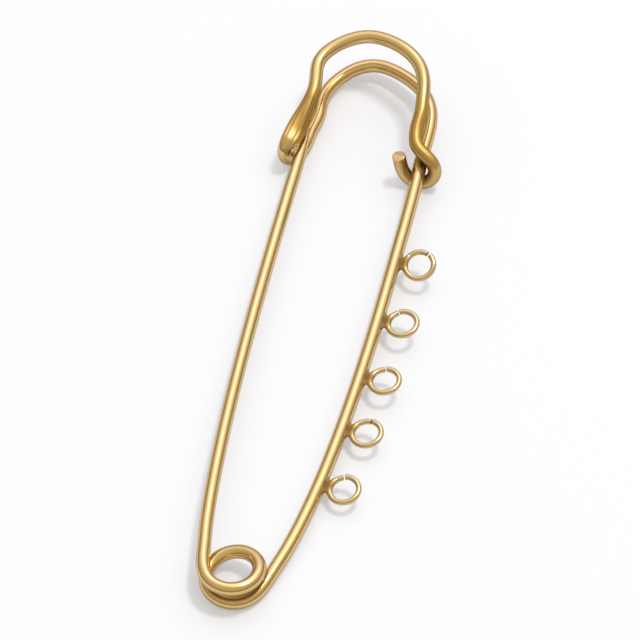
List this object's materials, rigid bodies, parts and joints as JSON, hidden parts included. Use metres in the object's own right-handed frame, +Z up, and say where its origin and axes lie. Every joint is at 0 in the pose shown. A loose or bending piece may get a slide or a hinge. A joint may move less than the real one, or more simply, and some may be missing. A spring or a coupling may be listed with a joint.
{
  "type": "safety pin",
  "caption": "Kilt-style safety pin bent from one wire: coil spring, sharp leg, looped head with catch, closing hook, and a row of charm rings on its bar.",
  "frame": {"origin": "centre of the pin's outline, on the table that it lies on", "axes": "+Y from the spring coil to the looped head, +X from the pin leg to the bar with the rings, +Z up from the table; the pin lies on its coil, its catch and its hook"},
  "size_m": [0.0214, 0.0822, 0.0086],
  "materials": {
    "gold_wire": "polished gold-tone plating on spring wire, with fine drawing lines and light rubbing",
    "ring_wire": "polished pale gold-tone plating on thin wire, duller at the weld"
  },
  "bodies": {
    "bent_wire": {"spring_coil": "gold_wire", "ring_bar": "gold_wire", "lower_hoop": "gold_wire", "catch_bend": "gold_wire", "upper_hoop": "gold_wire", "closing_hook": "gold_wire", "charm_ring_1": "ring_wire", "charm_ring_2": "ring_wire", "charm_ring_3": "ring_wire", "charm_ring_4": "ring_wire", "charm_ring_5": "ring_wire"},
    "pin_leg": {"pin_leg": "gold_wire"}
  },
  "joints": [
    {"name": "leg_squeeze", "type": "hinge", "parent": "bent_wire", "child": "pin_leg", "pos_m": [-0.00358, -0.03716, 0.00035], "axis": [0.1252, 0.0157, -0.992], "range_deg": [0, 8.5], "stiffness_Nm_per_rad": 0.85, "springref_deg": -2.86}
  ]
}
